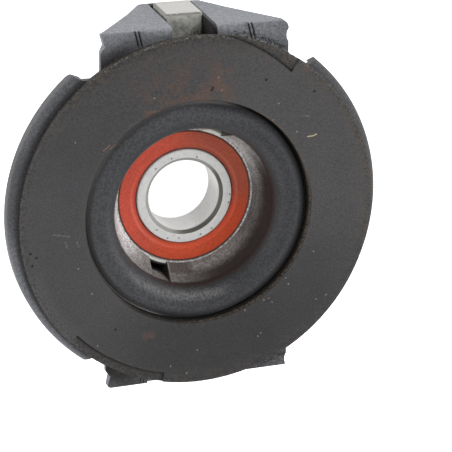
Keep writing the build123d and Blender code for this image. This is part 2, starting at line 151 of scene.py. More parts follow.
# Colours of the bearing
RING_DARK, RING_LIGHT, RING_STAIN = (0.70, 0.70, 0.69), (0.90, 0.90, 0.885), (0.30, 0.28, 0.245)
RING_PIT, RING_SPECK = (0.05, 0.042, 0.034), (0.20, 0.18, 0.15)
CHAMFER_GREASE_AND_SHADE, SEAM_GREASE, SEAM_FLECK = (0.075, 0.066, 0.050), (0.045, 0.020, 0.014), (0.55, 0.50, 0.40)
RING_IN_SHADE, RING_IN_LIGHT = (0.11, 0.115, 0.10), (0.98, 0.95, 0.88)
RUBBER_DARK, RUBBER_LIGHT = (0.47, 0.066, 0.036), (0.58, 0.090, 0.050)
RUBBER_LIT_LEFT, RUBBER_SHADED_RIGHT, RUBBER_LOW = (0.66, 0.088, 0.050), (0.40, 0.088, 0.048), (0.67, 0.083, 0.029)
RUBBER_DIRT, RUBBER_EDGE = (0.09, 0.024, 0.016), (0.060, 0.015, 0.010)

# Small dirt that is laid out by chance
FIBRES = 620
FIBRE_SEED = 41
CRUMBS = 150
CRUMB_SEED = 7

# Camera, from circles of known size in the photograph: degrees and millimetres
VIEW_AZIMUTH = 219.0
VIEW_ELEVATION = 63.69
VIEW_ROLL = 138.3
VIEW_DISTANCE = 900.0
AIM_RIGHT = 9.10
AIM_UP = -4.50
LENS = 212.0
SENSOR = 36.0

# Lamps: direction in degrees from X and up from the floor, size in metres and power in watts
LAMP_DISTANCE = 1.2
LAMPS = {
    "right": (0.0, 35.0, 0.7, 9.6),
    "beyond": (62.0, 28.0, 0.6, 5.4),
    "left": (165.0, 25.0, 0.8, 6.4),
    "high_left": (200.0, 45.0, 0.8, 2.6),
    "low_left": (240.0, 25.0, 0.8, 6.0),
    "top": (90.0, 88.0, 1.0, 0.8),
}

# Light that the surround and the floor give, and the floor's half width and height in metres
SURROUND_LIGHT = 0.22
FLOOR_LIGHT = 0.08
FLOOR_HALF = 2.0
FLOOR_HEIGHT = -0.0002


class Number:
    """A number that varies over a surface. Arithmetic on it adds Math nodes."""

    def __init__(self, finish, socket):
        self.finish = finish
        self.socket = socket

    def __add__(self, other):
        return self.finish.math("ADD", self, other)

    def __radd__(self, other):
        return self.finish.math("ADD", other, self)

    def __sub__(self, other):
        return self.finish.math("SUBTRACT", self, other)

    def __rsub__(self, other):
        return self.finish.math("SUBTRACT", other, self)

    def __mul__(self, other):
        return self.finish.math("MULTIPLY", self, other)

    def __rmul__(self, other):
        return self.finish.math("MULTIPLY", other, self)

    def __truediv__(self, other):
        return self.finish.math("DIVIDE", self, other)

    def __pow__(self, other):
        return self.finish.math("POWER", self, other)

    def __neg__(self):
        return self.finish.math("MULTIPLY", self, -1.0)

    def __abs__(self):
        return self.finish.math("ABSOLUTE", self)

    def up_to(self, other):
        """The smaller of the two."""
        return self.finish.math("MINIMUM", self, other)

    def at_least(self, other):
        """The larger of the two."""
        return self.finish.math("MAXIMUM", self, other)

    def step(self, low, high):
        """0 below low, 1 above high, and smooth between. Low above high turns it round."""
        settings = {"interpolation_type": "SMOOTHSTEP"}
        inputs = {"Value": self, "From Min": low, "From Max": high}
        return Number(self.finish, self.finish.node("ShaderNodeMapRange", settings, inputs).outputs["Result"])

    def near(self, middle, reach):
        """1 at the middle value and 0 a reach away from it."""
        return abs(self - middle).step(reach, 0.0)


class Tint:
    """A colour or a place that varies over a surface."""

    def __init__(self, finish, socket):
        self.finish = finish
        self.socket = socket

    def toward(self, other, share):
        """Mixed with another colour, by a share from 0 to 1."""
        return self.finish.mix(share, self, other)

    def shaded(self, amount):
        """Every channel times a number."""
        return self.finish.vector("SCALE", {"Vector": self, "Scale": amount})


class Finish:
    """A surface finish being made: one material, its nodes, and places on the part in millimetres."""

    def __init__(self, name):
        self.material = bpy.data.materials.new(name)
        self.material.use_nodes = True
        self.tree = self.material.node_tree
        self.tree.nodes.clear()
        metres = self.node("ShaderNodeTexCoord").outputs["Object"]
        self.place = self.vector("SCALE", {"Vector": metres, "Scale": MM})
        parts = self.node("ShaderNodeSeparateXYZ", {}, {"Vector": self.place}).outputs
        self.x, self.y, self.z = (Number(self, parts[axis]) for axis in "XYZ")
        self.radius = self.length(self.x, self.y)

    def node(self, kind, settings=None, inputs=None):
        """Any node: its settings are made first, then its sockets are filled or linked."""
        made = self.tree.nodes.new(kind)
        for name, value in (settings or {}).items():
            setattr(made, name, value)
        for name, value in (inputs or {}).items():
            self.fill(self.find(made, name), value)
        return made

    def find(self, made, name):
        """The first enabled input of that name, or the input at that place."""
        if isinstance(name, int):
            return made.inputs[name]
        return next(socket for socket in made.inputs if socket.name == name and socket.enabled)

    def fill(self, socket, value):
        """Link a varying value, or set a plain one."""
        value = getattr(value, "socket", value)
        if isinstance(value, bpy.types.NodeSocket):
            self.tree.links.new(value, socket)
        elif socket.type == "RGBA":
            socket.default_value = (*value[:3], 1.0)
        else:
            socket.default_value = value

    def math(self, operation, *values):
        """A Math node on one or two numbers."""
        made = self.node("ShaderNodeMath", {"operation": operation}, dict(enumerate(values)))
        return Number(self, made.outputs[0])

    def vector(self, operation, inputs):
        """A Vector Math node that gives a vector."""
        made = self.node("ShaderNodeVectorMath", {"operation": operation}, inputs)
        return Tint(self, made.outputs["Vector"])

    def mix(self, share, start, end):
        """Two colours mixed, by a share from 0 to 1."""
        inputs = {"Factor": share, "A": start, "B": end}
        made = self.node("ShaderNodeMix", {"data_type": "RGBA"}, inputs)
        return Tint(self, next(socket for socket in made.outputs if socket.type == "RGBA"))

    def colour(self, rgb):
        """A plain colour to start a mix from."""
        return self.mix(0.0, rgb, rgb)

    def length(self, across, along):
        """The length of a line with these two sides."""
        return self.math("SQRT", across * across + along * along)

    def from_middle(self, middle):
        """How far a point is from an upright line through a place."""
        return self.length(self.x - middle[0], self.y - middle[1])

    def across_puller(self):
        """How far a point is to the side of the puller slots' middle plane, with its sign."""
        turn = math.radians(PULLER_SLOT_ANGLE)
        return self.y * math.cos(turn) - self.x * math.sin(turn)

    def sector(self, middle, half_width, fade):
        """1 within an angle of a direction round the axis, fading beyond it, all in degrees."""
        direction = (math.cos(math.radians(middle)), math.sin(math.radians(middle)))
        cosine = (self.x * direction[0] + self.y * direction[1]) / self.radius.at_least(0.01)
        low = math.cos(math.radians(min(half_width + fade, 180)))
        high = math.cos(math.radians(half_width))
        return cosine.step(low, high)

    def facing_up(self):
        """How far the surface faces up, from -1 to 1, on the part at rest."""
        normal = self.node("ShaderNodeTexCoord").outputs["Normal"]
        return Number(self, self.node("ShaderNodeSeparateXYZ", {}, {"Vector": normal}).outputs["Z"])

    def noise(self, grain, detail=2.0, rough=0.5, shift=0.0, stretch=None):
        """Soft noise from 0 to 1, its grain in millimetres. Stretch gives a grain for each of x, y and z."""
        where = self.place
        if stretch:
            where = self.vector("DIVIDE", {0: where, 1: stretch})
        where = self.vector("ADD", {0: where, 1: (shift, -2 * shift, 3 * shift)})
        inputs = {"Vector": where, "Scale": 1.0 / grain, "Detail": detail, "Roughness": rough}
        made = self.node("ShaderNodeTexNoise", {"noise_dimensions": "3D"}, inputs)
        return Number(self, made.outputs[0])

    def spots(self, spacing, size, shift=0.0, keep=1.0):
        """Small round spots, 1 in their middle. Keep is the share of places that have one."""
        where = self.vector("ADD", {0: self.place, 1: (shift, 2 * shift, -shift)})
        inputs = {"Vector": where, "Scale": 1.0 / spacing, "Randomness": 1.0}
        made = self.node("ShaderNodeTexVoronoi", {"feature": "F1"}, inputs)
        chosen = self.node("ShaderNodeSeparateColor", {}, {"Color": made.outputs["Color"]})
        picked = Number(self, chosen.outputs[0]).step(keep, keep - 0.02)
        reach = Number(self, chosen.outputs[1]) * 0.7 + 0.3
        near = Number(self, made.outputs["Distance"]) * spacing / size
        return (near / reach).step(1.0, 0.55) * picked

    def blots(self, places, reach, height=FACE_HEIGHT):
        """Small ragged marks at places on one level, 1 in their middle and 0 about a reach away."""
        nearest = None
        for x, y in places:
            inputs = {0: self.place, 1: (x, y, height)}
            made = self.node("ShaderNodeVectorMath", {"operation": "DISTANCE"}, inputs)
            distance = Number(self, made.outputs["Value"])
            nearest = nearest.up_to(distance) if nearest else distance
        ragged = self.noise(0.8 * reach, detail=3.0, shift=reach)
        return (nearest / reach + (ragged - 0.5) * 1.6).step(1.0, 0.55)

    def stroke(self, start, end, width):
        """A straight mark between two places, 1 on its line, fading over its width."""
        run = Vector(end) - Vector(start)
        along = run.normalized()
        ahead = (self.x - start[0]) * along.x + (self.y - start[1]) * along.y
        aside = (self.y - start[1]) * along.x - (self.x - start[0]) * along.y
        past = (ahead - run.length).at_least(-ahead).at_least(0.0)
        return self.length(aside, past).step(width, 0.2 * width)

    def strokes(self, lines, width):
        """Several straight marks together."""
        total = self.stroke(*lines[0], width)
        for start, end in lines[1:]:
            total = total.at_least(self.stroke(start, end, width))
        return total

    def surface(self, colour, roughness, metallic=0.0, relief=None, depth=0.1, specular=0.5):
        """The closing shader. Relief is a height from 0 to 1, and depth its size in millimetres."""
        inputs = {"Base Color": colour, "Roughness": roughness, "Metallic": metallic,
                  "Specular IOR Level": specular}
        if relief is not None:
            bump_inputs = {"Strength": 1.0, "Distance": depth / MM, "Height": relief}
            inputs["Normal"] = self.node("ShaderNodeBump", {}, bump_inputs).outputs["Normal"]
        shader = self.node("ShaderNodeBsdfPrincipled", {}, inputs)
        output = self.node("ShaderNodeOutputMaterial")
        self.tree.links.new(shader.outputs["BSDF"], output.inputs["Surface"])
        return self.material


def friction_compound(f, grain, dusty, flaky):
    """The lining's mixture, with painted light and shade by side, brown dust and a dark crust at its edges.
    """
    cloud = f.noise(11.0, detail=3.0, shift=4.0)
    patch = f.noise(3.2, detail=4.0, rough=0.6, shift=31.0)
    base = f.colour(COMPOUND_DARK).toward(COMPOUND_LIGHT, grain.step(0.28, 0.72))
    # Painted light and shade by side: paler near 15° and 205°, darker near 290° and 130°.
    sides = 0.15 * f.sector(15.0, 40.0, 40.0) + 0.06 * f.sector(205.0, 20.0, 40.0)
    sides = sides - 0.30 * f.sector(290.0, 30.0, 40.0) - 0.07 * f.sector(130.0, 15.0, 30.0)
    wear_and_highlight = f.sector(60.0, 60.0, 35.0)
    gritty = f.noise(0.9, detail=4.0, rough=0.7, shift=37.0).step(0.38, 0.62) - 0.5
    base = base.shaded(0.82 + 0.18 * cloud + 0.14 * patch + sides + gritty * (0.10 + 0.14 * wear_and_highlight))
    inner = f.radius.step(LINING_HOLE_RADIUS + 3.5, LINING_HOLE_RADIUS + 0.2)
    outer = f.radius.step(LINING_RADIUS - 7.0, LINING_RADIUS - 0.6)
    dust = (inner * 0.4 + outer * (0.5 + 0.45 * wear_and_highlight) + 0.22 * wear_and_highlight) * dusty.step(0.40, 0.70)
    base = base.toward(BROWN_DUST, dust.up_to(1.0))
    darker, paler = f.sector(100.0, 25.0, 20.0), f.sector(212.0, 8.0, 12.0)
    base = base.shaded(1.0 - 0.2 * outer * darker + 0.2 * outer * paler)
    crust = f.radius.step(LINING_RADIUS - 3.2, LINING_RADIUS - 1.0) * flaky.step(0.5, 0.66)
    return base.toward(RIM_CRUST, crust * (0.35 + 0.35 * wear_and_highlight + 0.3 * f.sector(205.0, 60.0, 20.0)))


def with_rust(f, base):
    """Brown rust toward the upper lug, and at a few patches."""
    bed = f.sector(95.0, 11.0, 16.0) * f.radius.step(60.0, 50.0)
    dots = f.noise(0.9, detail=4.0, rough=0.7, shift=17.0).step(0.50, 0.64)
    cloud = f.noise(4.0, detail=3.0, shift=18.0).step(0.35, 0.7)
    patches = f.blots(RUST_PATCHES, 2.6)
    rust = (bed * cloud * f.radius.step(56.0, 41.0)).at_least(patches) * dots
    base = base.toward(RUST_FILM, bed * cloud * 0.40)
    base = base.toward(RUST_GRAINS, rust * 0.6).toward(RUST_STAIN, patches * 0.25)
    return base.toward(RUST_SHADOW, f.blots(FAINT_PATCHES, 3.0) * cloud * 0.45)


def with_edges(f, base, dusty, flaky):
    """Torn fibres at the rim, rough floors and walls of the two steps with painted shade, and a dusty wall in
    the hole.
    """
    fibres = f.radius.step(LINING_RADIUS - 1.3, LINING_RADIUS - 0.4)
    fibres = fibres * f.noise(0.4, detail=3.0, shift=61.0).step(0.52, 0.66)
    base = base.toward(TORN_RIM, fibres * (0.25 + 0.65 * f.sector(85.0, 25.0, 30.0)))

    wall = f.z.step(FACE_HEIGHT - STEP_DEPTH - 0.02, FACE_HEIGHT - STEP_DEPTH - 0.5)
    sunk = f.z.step(FACE_HEIGHT - 0.3, FACE_HEIGHT - 0.6) * (1.0 - wall)
    upper, lower = f.y.step(-1.0, 1.0), f.y.step(1.0, -1.0)
    rubble = f.noise(0.75, detail=5.0, rough=0.8, shift=83.0)
    base = base.toward(WORN_DUST, sunk * upper * dusty.step(0.3, 0.6) * 0.7)
    base = base.toward(WORN_HOLLOW, sunk * upper * rubble.step(0.52, 0.60) * 0.75)
    base = base.toward(WORN_CRUMB, sunk * upper * rubble.step(0.43, 0.36) * 0.55)
    base = base.toward(STEP_FLOOR, sunk * flaky.step(0.40, 0.62) * (0.45 + 0.35 * lower))
    # Painted shadow: a dark band on the step floors along the base of each step wall.
    past_worn = f.from_middle(WORN_STEP_MIDDLE) - WORN_STEP_RADIUS
    past_moulded = f.radius - MOULDED_STEP_RADIUS
    shaded_foot = (past_worn * upper).at_least(past_moulded * lower)
    shaded_foot = (shaded_foot + (flaky - 0.5) * 1.2).step(1.3, 0.2) * (0.35 + 0.5 * rubble.step(0.40, 0.55))
    base = base.toward(STEP_FOOT_SHADOW, sunk * shaded_foot)

    # Painted shade on the step walls, broken up by rubble and lighter at the upper step's end near 56°.
    upright = 1.0 - f.facing_up().step(0.55, 0.85)
    above_floor = f.z.step(FACE_HEIGHT - STEP_DEPTH - 0.15, FACE_HEIGHT - STEP_DEPTH + 0.05)
    shaded_ledge = upright * above_floor * f.z.step(FACE_HEIGHT, FACE_HEIGHT - 0.15)
    broken = (0.35 + 0.5 * rubble.step(0.44, 0.54)) * (1.0 - 0.75 * f.sector(56.0, 3.0, 2.0))
    base = base.toward(OUTER_WALL, wall * 0.92).toward(STEP_WALL_SHADE, shaded_ledge * (1.0 - wall) * broken)
    in_hole = f.radius.step(LINING_HOLE_RADIUS + 0.7, LINING_HOLE_RADIUS + 0.3) * f.z.step(36.2, 37.4)
    return base.toward(HOLE_DUST, wall * in_hole * rubble.step(0.35, 0.6) * 0.8)


def lining_finish():
    """Dark friction compound: fine fibres, brown dust, rust, pale flecks, pits, light scoring and painted
    shade at the hole's edge.
    """
    f = Finish("friction_lining")
    grain = f.noise(0.5, detail=5.0, rough=0.75)
    dusty = f.noise(1.5, detail=5.0, rough=0.7, shift=9.0)
    flaky = f.noise(0.6, detail=4.0, shift=44.0)
    base = friction_compound(f, grain, dusty, flaky)
    base = with_rust(f, base)
    base = with_edges(f, base, dusty, flaky)

    # Painted shade along the hole's edge near 300°.
    shaded_hole_edge = f.radius.step(LINING_HOLE_RADIUS + 1.1, LINING_HOLE_RADIUS + 0.4) * f.sector(300.0, 60.0, 20.0)
    base = base.toward(HOLE_EDGE_SHADE, shaded_hole_edge * dusty.step(0.3, 0.5) * 0.9)
    frayed = f.radius.step(LINING_HOLE_RADIUS + 0.6, LINING_HOLE_RADIUS + 0.3) * f.z.step(38.6, 39.4)
    base = base.toward(HOLE_FRAY, frayed * f.sector(345.0, 60.0, 30.0) * flaky.step(0.42, 0.58) * 0.42)

    crumbs = shaded_hole_edge * f.spots(0.9, 0.26, shift=8.0, keep=0.55)
    pale = f.blots(PALE_FLECKS, 0.36).at_least(f.blots(CRUMB_FLECKS, 0.33)).at_least(crumbs * 0.45)
    pale = pale.at_least(f.spots(4.2, 0.3, shift=3.0, keep=0.22) * 0.5)
    pale = pale.at_least(f.spots(1.9, 0.17, shift=93.0, keep=0.3) * 0.4)
    base = base.toward(PALE_FLECK, pale * 0.62)
    base = base.toward(RUST_FLECK, f.blots(RUST_FLECKS, 0.45) * 0.7)
    base = base.toward(PALE_SCORE, f.strokes(PALE_SCORES, 0.34) * grain.step(0.35, 0.6) * 0.75)
    base = base.toward(BROWN_SCORE, f.strokes(BROWN_SCORES, 0.34) * 0.7)
    base = base.toward(GOLDEN_SCORE, f.strokes(GOLDEN_SCORES, 0.36) * 0.9)
    pits = f.blots(DARK_PITS, 0.6).at_least(f.spots(3.6, 0.3, shift=30.0, keep=0.25))
    base = base.toward(DARK_PIT, pits * 0.85)
    relief = 0.5 + (grain - 0.5) * 0.8 - pits * 0.4 + pale * 0.2 + (dusty - 0.5) * 0.4
    return f.surface(base, 0.78 + 0.17 * grain, relief=relief, depth=0.14, specular=0.25)


def drum_finish():
    """Smooth dark blue-grey coating: faint mottling, pale dust, a few chips, dark dirt at the pocket, painted
    light and shade.
    """
    f = Finish("drum_paint")
    mottle = f.noise(0.8, detail=4.0, rough=0.65)
    cloud = f.noise(14.0, detail=2.0, shift=6.0)
    base = f.colour(PAINT_DARK).toward(PAINT_LIGHT, mottle.step(0.38, 0.63))
    base = base.shaded(0.92 + 0.16 * cloud)

    front = f.z.step(FACE_HEIGHT - 7.0, FACE_HEIGHT - 5.0)
    past_bead = f.radius - BEAD_MIDDLE_RADIUS
    # Painted shade: the bead is darker on its side near 340°.
    base = base.shaded(1.0 - 0.28 * f.sector(340.0, 65.0, 30.0) * past_bead.step(4.2, -0.8) * front)
    # Painted shade on the bead's outer slope, darkest near 348°; this slope is also made rougher.
    shaded_flank = past_bead.step(0.9, 3.6) * past_bead.step(5.4, 4.6) * f.sector(345.0, 90.0, 30.0) * front
    base = base.shaded(1.0 - (0.50 + 0.38 * f.sector(348.0, 38.0, 26.0)) * shaded_flank)
    # Painted highlight along the rim's bend near 209°, fainter near 140°.
    wear_and_highlight = f.radius.step(RIM_HIGHLIGHT_RADIUS, RIM_HIGHLIGHT_RADIUS + 1.1)
    wear_and_highlight = wear_and_highlight * (f.sector(209.0, 14.0, 18.0) + 0.5 * f.sector(140.0, 8.0, 14.0))
    base = base.shaded(1.0 + 1.25 * wear_and_highlight)
    # Painted light in the hollow between the bead and the lining's hole, on the side near 160°.
    lit_valley = past_bead.step(3.5, 5.6) * past_bead.step(7.2, 6.2) * f.sector(160.0, 80.0, 22.0) * front
    base = base.toward(VALLEY_LIGHT, lit_valley ** 1.75)
    # Painted highlight on the bead's inner slope near 256°.
    bead_highlight = past_bead.near(-3.0, 2.4) * f.sector(256.0, 20.0, 22.0) * mottle.step(0.30, 0.6)
    base = base.toward(BEAD_HIGHLIGHT, bead_highlight * 0.78)

    dust = f.spots(1.3, 0.22, shift=4.0, keep=0.35) * f.noise(5.0, shift=14.0).step(0.45, 0.65)
    base = base.toward(PAINT_DUST, dust * 0.5)
    # Dark dirt deep in the pocket's mouth, strengthened near 325° as painted shade.
    grime_and_shade = f.z.step(FACE_HEIGHT - 2.6, FACE_HEIGHT - 6.0) * past_bead.step(-2.8, -5.2)
    base = base.toward(PAINT_GRIME_AND_SHADE, grime_and_shade * (0.35 + 0.6 * f.sector(325.0, 50.0, 50.0)))
    base = base.toward(PAINT_CHIP, f.spots(7.0, 0.3, shift=12.0, keep=0.22) * 0.8)
    return f.surface(base, 0.50 + 0.12 * mottle + 0.35 * shaded_flank, relief=mottle, depth=0.07, specular=0.35)


def cast_skin(f, grain, front, scuffs):
    """Grey phosphated casting, with painted shade on the front faces, lower lug, score marks and slots, and
    soot and painted shade along the lining's edge.
    """
    cloud = f.noise(9.0, detail=3.0, shift=2.0)
    lower = f.y.step(-40.0, -48.0)
    face_grain = f.noise(1.4, detail=4.0, rough=0.7, shift=57.0).step(0.3, 0.7) - 0.5
    cast = f.colour(CAST_DARK).toward(CAST_LIGHT, grain.step(0.36, 0.65))
    # Painted shade: the front faces and the lower lug are darker.
    cast = cast.shaded(0.87 + 0.26 * cloud).shaded(1.0 - 0.38 * front - 0.30 * lower)
    cast = cast.shaded(1.0 + face_grain * (0.10 + 0.25 * front))
    cast = cast.shaded(1.0 - 0.2 * f.x.step(25.0, 31.0) * front)

    # Painted shade in the score marks: their floors and outlines are darkened.
    shaded_groove = f.facing_up().step(0.9, 0.97) * f.z.step(YOKE_FRONT - 0.2, YOKE_FRONT - 0.4)
    cast = cast.toward(GROOVE_SHADE, shaded_groove * f.z.step(YOKE_FRONT - 1.5, YOKE_FRONT - 1.0) * 0.9)
    cast = cast.toward(MARK_SHADE, f.strokes(UPPER_MARKS, 0.62) * front * 0.85)
    cast = cast.toward(SCUFF, scuffs * 0.35)

    # Painted shade in the slots beside the drive blocks, with caked grease.
    past_side = abs(f.x - SLOT_MIDDLE) - SLOT_HALF_WIDTH
    in_slot = past_side.step(0.85, 0.35) * abs(f.y).step(50.0, 51.0)
    caked = 0.6 + 0.4 * f.noise(1.2, detail=4.0, shift=27.0).step(0.70, 0.50)
    cast = cast.shaded(1.0 - 0.65 * in_slot).toward(SLOT_SHADE_AND_GREASE, in_slot * caked)

    # Soot and painted shade in the corner where the lining's edge meets the lug's front, with dark crumbs
    # beside it.
    grime_and_shade = f.noise(1.1, detail=5.0, rough=0.75, shift=13.0)
    past_lining = f.from_middle(SOOT_AND_SHADE_MIDDLE) - LINING_RADIUS
    corner_soot_and_shade = past_lining.step(8.0, 1.5) * f.x.step(-15.0, -27.0) * grime_and_shade.step(0.20, 0.5)
    crumbs = past_lining.step(3.6, 0.4) * f.x.step(9.0, 15.0) * grime_and_shade.step(0.47, 0.56)
    return cast.toward(LUG_SOOT_AND_SHADE, (corner_soot_and_shade + crumbs).up_to(1.0) * front * 0.88)


def pocket_steel(f, turned):
    """Bare turned steel of the pocket: painted light and shade by side, stains, oil and shade at the lip, and
    the puller slots.
    """
    fine = f.noise(0.8, detail=5.0, rough=0.8, shift=41.0)
    stain = f.noise(2.4, detail=4.0, rough=0.65, shift=21.0)
    steel = f.colour(TURNED_DARK).toward(TURNED_LIGHT, turned.step(0.3, 0.7))
    # Painted light on the side near 202°, less high up near 228°, and a little near 38°.
    high_patch = f.sector(228.0, 6.0, 12.0) * f.z.step(25.0, 31.0)
    lit_side = f.sector(202.0, 14.0, 20.0) * (1.0 - 0.6 * high_patch)
    lit_side = lit_side.at_least(f.sector(38.0, 10.0, 18.0) * 0.25)
    steel = steel.toward(TURNED_LIT, lit_side * 0.85)
    # Painted shade near 261°, 290° and 345°.
    shaded_side = (f.sector(261.0, 8.0, 12.0) * f.z.step(31.0, 27.0) * 1.35).at_least(f.sector(345.0, 24.0, 34.0))
    shaded_side = shaded_side.at_least(f.sector(290.0, 60.0, 20.0) * 0.7)
    steel = steel.shaded(1.0 - 0.55 * shaded_side)
    stains = stain.step(0.5, 0.75) * 0.45 + fine.step(0.50, 0.62) * 0.5
    stains = stains + f.spots(1.5, 0.3, shift=71.0, keep=0.4) * 0.6
    steel = steel.shaded(0.74 + 0.52 * fine.step(0.66, 0.34)).toward(TURNED_STAIN, stains.up_to(0.9))
    # More painted shade near 345°.
    steel = steel.shaded(1.0 - 0.35 * f.sector(345.0, 15.0, 15.0))

    # Oil at the lip, strengthened near 330° as painted shade.
    oil_and_shade = 0.30 + 0.12 * f.sector(90.0, 60.0, 60.0) + 0.68 * f.sector(330.0, 30.0, 52.0)
    lip = (f.z + (stain - 0.5) * 3.0 + (fine - 0.5) * 3.0).step(YOKE_FRONT - 9.0, YOKE_FRONT - 3.0)
    steel = steel.toward(LIP_OIL, (lip * oil_and_shade).up_to(1.0) * 0.98)
    steel = steel.toward(LIP_GRAIN, lip * fine.step(0.53, 0.66) * 0.32)

    aside = f.across_puller()
    past_side = abs(aside) - PULLER_SLOT_HALF_WIDTH
    end_wall = aside.step(-2.0, -3.2) * past_side.step(0.35, 0.05)
    gap = f.z.step(BEARING_FRONT + 1.9, BEARING_FRONT + 1.2) * past_side.step(0.1, -0.1)
    shade = (end_wall * 0.8).at_least(gap * 0.92) * f.radius.step(SEAL_RADIUS + 0.5, SEAL_RADIUS + 0.8)
    steel = steel.toward(PULLER_SHADE, shade)
    # Painted highlight along the side edge of the lower puller slot.
    slot_edge_highlight = aside.near(-PULLER_SLOT_HALF_WIDTH - 0.45, 0.28) * f.y.step(1.0, -1.0)
    steel = steel.toward(PULLER_EDGE_HIGHLIGHT, slot_edge_highlight * (1.0 - lip) * 0.6)
    edge = (f.z + (stain - 0.5) * 1.2).step(YOKE_FRONT - 1.3, YOKE_FRONT - 0.2)
    return steel.toward(LIP_EDGE, edge * 0.9)


def yoke_finish():
    """Grey casting outside and on the lugs, and bare turned steel in the pocket."""
    f = Finish("cast_yoke")
    grain = f.noise(0.7, detail=5.0, rough=0.8)
    turned = f.noise(0.5, detail=2.0, stretch=(9.0, 9.0, 0.6), shift=5.0)
    front = f.facing_up().step(0.3, 0.9) * f.z.step(YOKE_FRONT - 3.0, YOKE_FRONT - 0.5)
    scuffs = f.noise(0.7, detail=4.0, rough=0.7, shift=23.0).step(0.50, 0.64) * front * f.x.step(4.0, 12.0)
    bare = f.radius.step(POCKET_RADIUS + 0.5, POCKET_RADIUS + 0.1)
    bare = bare * f.z.step(BEARING_FRONT - 8.0, BEARING_FRONT - 7.0)
    colour = cast_skin(f, grain, front, scuffs).toward(pocket_steel(f, turned), bare)
    rough = 0.66 + 0.15 * grain - bare * 0.16
    relief = grain * (1.0 - 0.5 * bare) + turned * 0.1 * bare - scuffs * 0.2
    return f.surface(colour, rough, metallic=bare * 0.2, relief=relief, depth=0.13, specular=0.35)


def block_finish():
    """Bare steel: a ground, pale outer face and duller sides with brown stains, grease, painted shadow and a
    dark edge line.
    """
    f = Finish("drive_block_steel")
    outward = abs(f.y).step(LUG_REACH - 0.2, LUG_REACH + 0.6)
    lines = f.noise(0.4, detail=3.0, stretch=(12.0, 1.0, 0.8))
    stain = f.noise(1.8, detail=5.0, rough=0.65, shift=7.0)
    sides = f.colour(SIDE_DARK).toward(SIDE_LIGHT, stain.step(0.30, 0.66))
    sides = sides.toward(SIDE_STAIN, f.noise(2.6, detail=4.0, shift=33.0).step(0.50, 0.72) * 0.5)
    # Grease and painted shadow on the right part of the block, below 56.5 mm in y.
    shaded_foot = f.y.step(60.0, 56.5) * f.noise(0.9, detail=4.0, shift=35.0).step(0.35, 0.6)
    sides = sides.toward(SIDE_GREASE_AND_SHADOW, shaded_foot * f.x.step(-1.5, 5.0) * 0.85)
    ground = f.colour(GROUND_DARK).toward(GROUND_LIGHT, lines)
    ground = ground.toward(GROUND_STAIN, stain.step(0.55, 0.75) * 0.35)
    edge_line = abs(f.y).near(LUG_REACH + 0.85, 0.42) * stain.step(0.25, 0.5)
    colour = sides.toward(ground, outward).toward(EDGE_LINE, edge_line * 0.8)
    return f.surface(colour, 0.46 + 0.15 * stain, metallic=0.25, relief=lines * 0.5 + stain * 0.5, depth=0.05)


def bearing_finish():
    """Ground bearing steel: small stains and pits, grease in the chamfers and at the seal's edge, and painted
    shade in the bore.
    """
    f = Finish("bearing_steel")
    lines = f.noise(0.35, detail=2.0, stretch=(6.0, 6.0, 0.5))
    stain = f.noise(0.9, detail=5.0, rough=0.7, shift=8.0)
    pits = f.spots(0.9, 0.15, shift=5.0, keep=0.5)
    dashes = f.blots(RING_DASHES, 0.40, BEARING_FRONT)
    colour = f.colour(RING_DARK).toward(RING_LIGHT, lines).toward(RING_STAIN, stain.step(0.55, 0.75) * 0.55)
    colour = colour.toward(RING_PIT, (pits * 0.6).at_least(dashes * 0.75))

    wall = f.radius.step(BORE_RADIUS + 0.3, BORE_RADIUS + 0.1)
    # Painted shade on the bore wall near 330°.
    colour = colour.shaded(1.0 - 0.22 * wall * f.sector(330.0, 14.0, 34.0))
    on_inner_ring = f.radius.step(INNER_RING_RADIUS + 1.05, INNER_RING_RADIUS + 0.55)
    specks = f.spots(0.7, 0.17, shift=15.0, keep=0.5) * on_inner_ring * (1.0 - wall)
    colour = colour.toward(RING_SPECK, specks * 0.6)
    chamfer = f.radius.step(BORE_RADIUS + 1.8, BORE_RADIUS + 1.4)
    chamfer = chamfer * f.z.step(BEARING_FRONT - 2.0, BEARING_FRONT - 1.4)
    chamfer = chamfer * f.z.step(BEARING_FRONT - 0.02, BEARING_FRONT - 0.2)
    chamfer = chamfer * f.radius.step(BORE_RADIUS + 0.05, BORE_RADIUS + 0.4)
    # Grease in the chamfers, strengthened near 330° as painted shade.
    colour = colour.toward(CHAMFER_GREASE_AND_SHADE, chamfer * (0.6 + 0.37 * f.sector(330.0, 55.0, 30.0)))

    seam = f.radius.step(SEAL_RADIUS - 0.4, SEAL_RADIUS - 0.1)
    seam = seam * f.z.step(BEARING_FRONT - 1.6, BEARING_FRONT - 1.2)
    edge = seam * f.radius.step(SEAL_RADIUS + 0.55, SEAL_RADIUS + 0.25)
    past_side = abs(f.across_puller()) - PULLER_SLOT_HALF_WIDTH
    in_puller = seam * past_side.step(0.2, -0.1)
    grease = (edge + seam * (1.0 - in_puller) * stain.step(0.4, 0.6) * 0.6).up_to(1.0)
    colour = colour.toward(SEAM_GREASE, grease * 0.95)
    fleck = seam * f.spots(1.0, 0.2, shift=51.0, keep=0.5) * f.sector(290.0, 60.0, 20.0)
    colour = colour.toward(SEAM_FLECK, fleck * 0.8)
    lit = f.radius.near(SEAL_RADIUS + 1.1, 0.75).at_least(f.y.step(-1.0, 1.0))
    colour = colour.toward(RING_IN_SHADE, in_puller * (1.0 - edge) * (1.0 - lit) * 0.9)
    colour = colour.toward(RING_IN_LIGHT, in_puller * (1.0 - edge) * lit * 0.9)
    metal = 0.35 - 0.25 * (chamfer + edge).up_to(1.0)
    return f.surface(colour, 0.38 + 0.2 * stain, metallic=metal, relief=lines * 0.2 - pits, depth=0.06)


